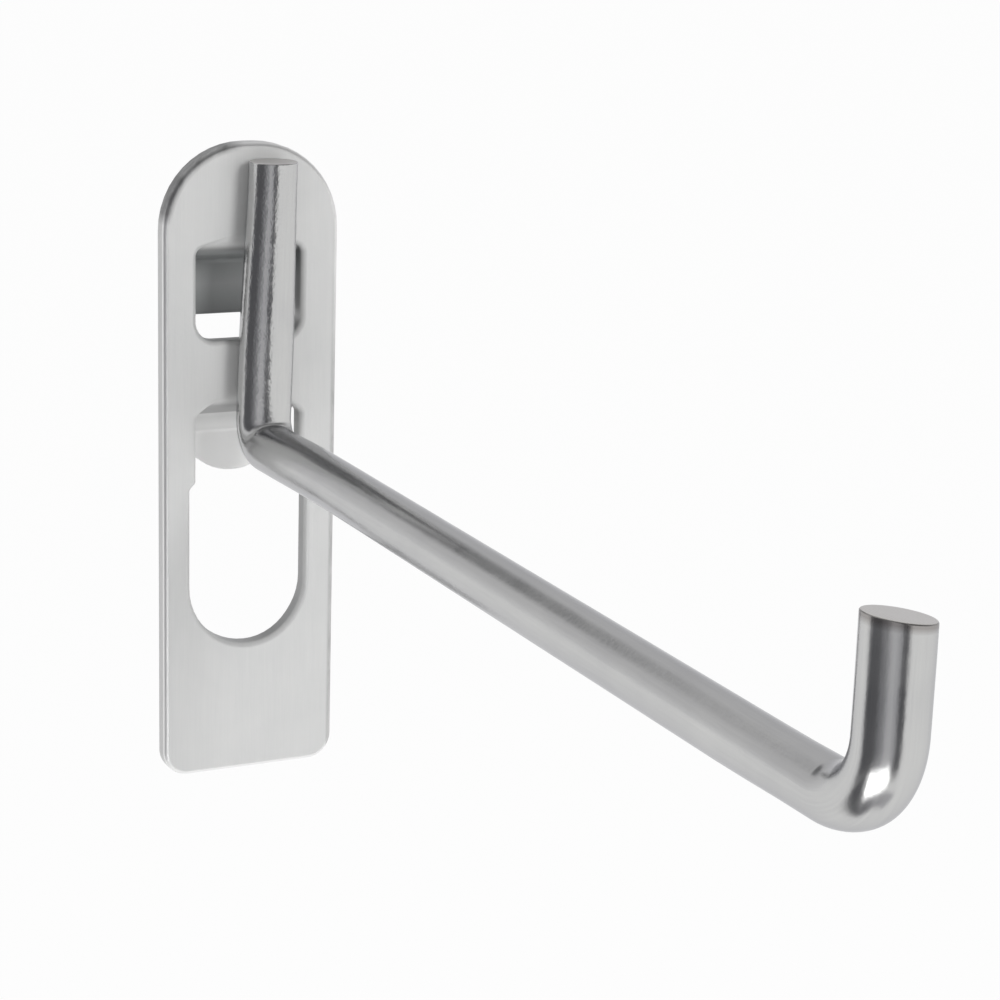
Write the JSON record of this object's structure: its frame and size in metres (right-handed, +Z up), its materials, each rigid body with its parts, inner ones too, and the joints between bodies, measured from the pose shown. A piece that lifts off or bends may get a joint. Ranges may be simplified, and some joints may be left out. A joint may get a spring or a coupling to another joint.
{
  "type": "pegboard hook",
  "caption": "Welded pegboard hook: round rod with upturned tip on a pressed steel back plate whose tongues drop behind the panel.",
  "frame": {"origin": "point on the plate's back face, on its middle line, on the bridge between its two openings, 56.5 mm above its bottom edge", "axes": "+Z up along the plate, +Y into the panel that the hook hangs on, so that the arm runs out along -Y; +X to the right seen from the front"},
  "size_m": [0.0242, 0.1598, 0.086],
  "materials": {
    "plate_zinc": "bright zinc plated sheet, satin",
    "rod_zinc": "bright zinc plated drawn bar, polished along its length"
  },
  "bodies": {
    "root": {"back_plate": "plate_zinc", "hook_rod": "rod_zinc"}
  },
  "joints": []
}
